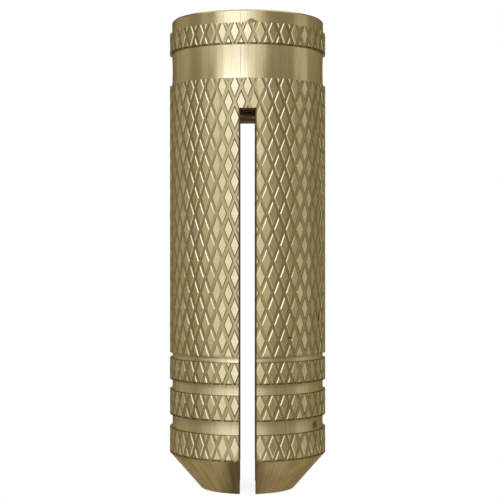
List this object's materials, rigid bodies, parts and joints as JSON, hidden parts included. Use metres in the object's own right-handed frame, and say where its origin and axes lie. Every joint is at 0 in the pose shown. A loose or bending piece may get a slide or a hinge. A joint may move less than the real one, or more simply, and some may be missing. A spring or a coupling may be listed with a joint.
{
  "type": "expansion anchor",
  "caption": "Turned brass expansion sleeve with a diamond-knurled body, ring grooves, a coned nose, a sawn slit and a threaded bore for a screw that spreads its legs.",
  "frame": {"origin": "centre of the flat end of the nose, at the bottom of the standing anchor", "axes": "+Z along the sleeve's axis from the nose to the collar, the slit runs along Y"},
  "size_m": [0.008, 0.008, 0.024],
  "materials": {
    "brass": "turned and knurled, unplated, slightly dulled"
  },
  "bodies": {
    "root": {"anchor_sleeve": "brass"}
  },
  "joints": []
}
